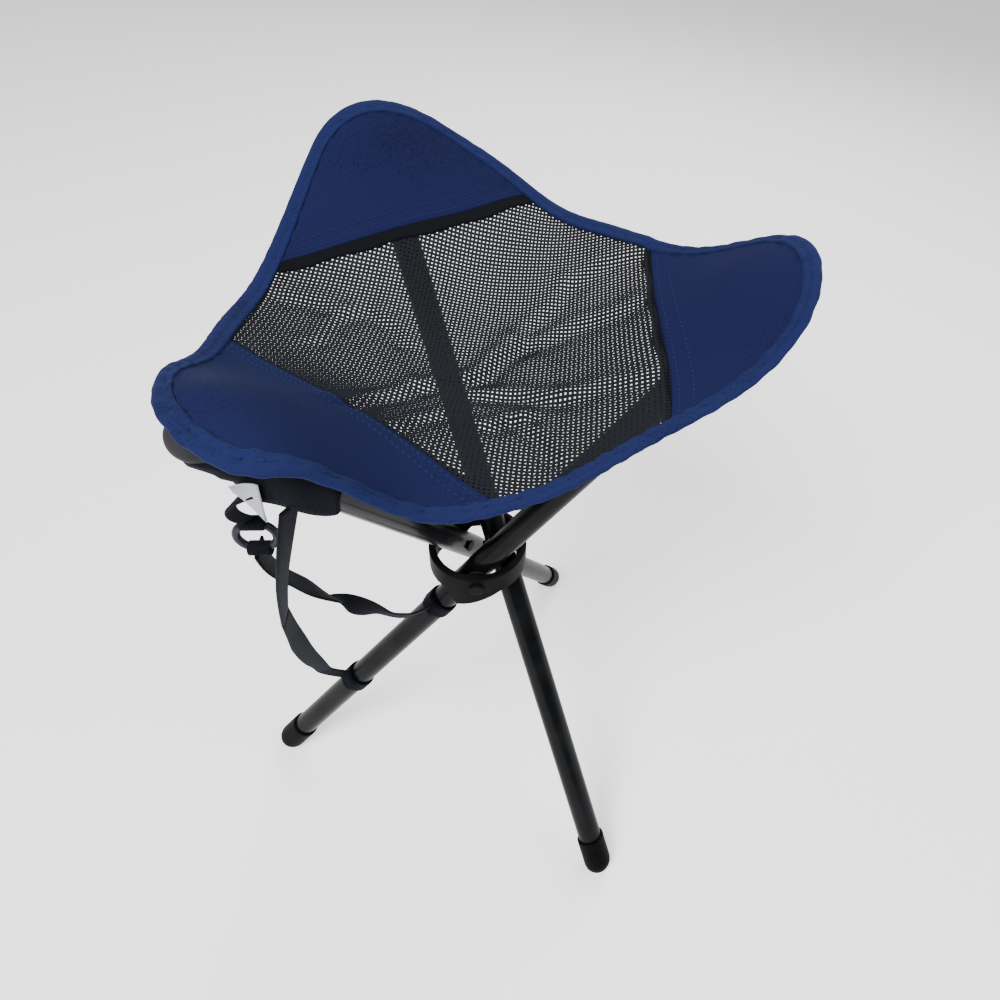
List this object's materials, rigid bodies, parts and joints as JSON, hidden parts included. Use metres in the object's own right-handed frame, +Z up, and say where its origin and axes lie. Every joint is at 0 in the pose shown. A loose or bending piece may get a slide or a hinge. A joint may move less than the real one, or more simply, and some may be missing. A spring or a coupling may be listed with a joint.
{
  "type": "camp stool",
  "caption": "Folding tripod camp stool: crossed tube legs pivot in a hub ring and spread a three-cornered mesh and fabric seat.",
  "frame": {"origin": "on the floor, at the centre of the stool's bounding box when open", "axes": "+Z up, +Y towards the back corner of the seat, +X towards the right corner"},
  "size_m": [0.3063, 0.2758, 0.4407],
  "materials": {
    "tube_paint": "gloss",
    "foot_rubber": "satin",
    "cap_plastic": "matte",
    "hub_plastic": "satin",
    "ring_plastic": "gloss",
    "rivet_paint": "satin",
    "panel_fabric": "woven polyester",
    "binding_fabric": "folded woven tape",
    "mesh_fabric": "open mesh",
    "tape_fabric": "woven tape",
    "pocket_fabric": "woven polyester",
    "webbing": "ribbed webbing",
    "label_fabric": "smooth woven"
  },
  "bodies": {
    "hub": {"hub_ring": "hub_plastic", "mesh_panel": "mesh_fabric", "pivot_rivet_right": "rivet_paint", "pivot_washer_right": "cap_plastic", "pivot_rivet_back": "rivet_paint", "pivot_washer_back": "cap_plastic", "pivot_rivet_left": "rivet_paint", "pivot_washer_left": "cap_plastic"},
    "leg_right": {"leg_tube_right": "tube_paint", "foot_cap_right": "foot_rubber", "leg_top_cap_right": "cap_plastic", "leg_pocket_right": "pocket_fabric", "corner_panel_right": "panel_fabric", "edge_binding_right": "binding_fabric", "seam_tape_right": "tape_fabric", "carry_strap_loop": "webbing", "closure_strap_loop": "webbing", "carry_strap_lower": "webbing", "closure_strap_lower": "webbing"},
    "leg_back": {"leg_tube_back": "tube_paint", "foot_cap_back": "foot_rubber", "leg_top_cap_back": "cap_plastic", "leg_pocket_back": "pocket_fabric", "corner_panel_back": "panel_fabric", "edge_binding_back": "binding_fabric", "seam_tape_back": "tape_fabric"},
    "leg_left": {"leg_tube_left": "tube_paint", "foot_cap_left": "foot_rubber", "leg_top_cap_left": "cap_plastic", "leg_pocket_left": "pocket_fabric", "corner_panel_left": "panel_fabric", "edge_binding_left": "binding_fabric", "seam_tape_left": "tape_fabric", "strap_tab": "webbing", "care_label": "label_fabric", "ring_tab": "webbing", "strap_ring": "ring_plastic", "carry_strap_upper": "webbing", "closure_strap_upper": "webbing"}
  },
  "joints": [
    {"name": "leg_right_fold", "type": "hinge", "parent": "hub", "child": "leg_right", "pos_m": [0.00144, -0.01985, 0.21584], "axis": [0, -1, 0], "range_deg": [0, 35], "deforming": ["corner_panel_right", "edge_binding_right", "seam_tape_right", "mesh_panel", "carry_strap_lower", "closure_strap_lower"]},
    {"name": "leg_back_fold", "type": "hinge", "parent": "hub", "child": "leg_back", "pos_m": [0.01408, 0.00205, 0.21584], "axis": [0.866, 0.5, 0], "range_deg": [0, 35], "deforming": ["corner_panel_back", "edge_binding_back", "seam_tape_back"]},
    {"name": "leg_left_fold", "type": "hinge", "parent": "hub", "child": "leg_left", "pos_m": [-0.01121, 0.00205, 0.21584], "axis": [-0.866, 0.5, 0], "range_deg": [0, 35], "deforming": ["corner_panel_left", "edge_binding_left", "seam_tape_left", "strap_tab", "care_label", "ring_tab", "carry_strap_upper", "closure_strap_upper"]}
  ],
  "couplings": [
    {"joint": "leg_back_fold", "follows": "leg_right_fold", "ratio": 1},
    {"joint": "leg_left_fold", "follows": "leg_right_fold", "ratio": 1}
  ]
}
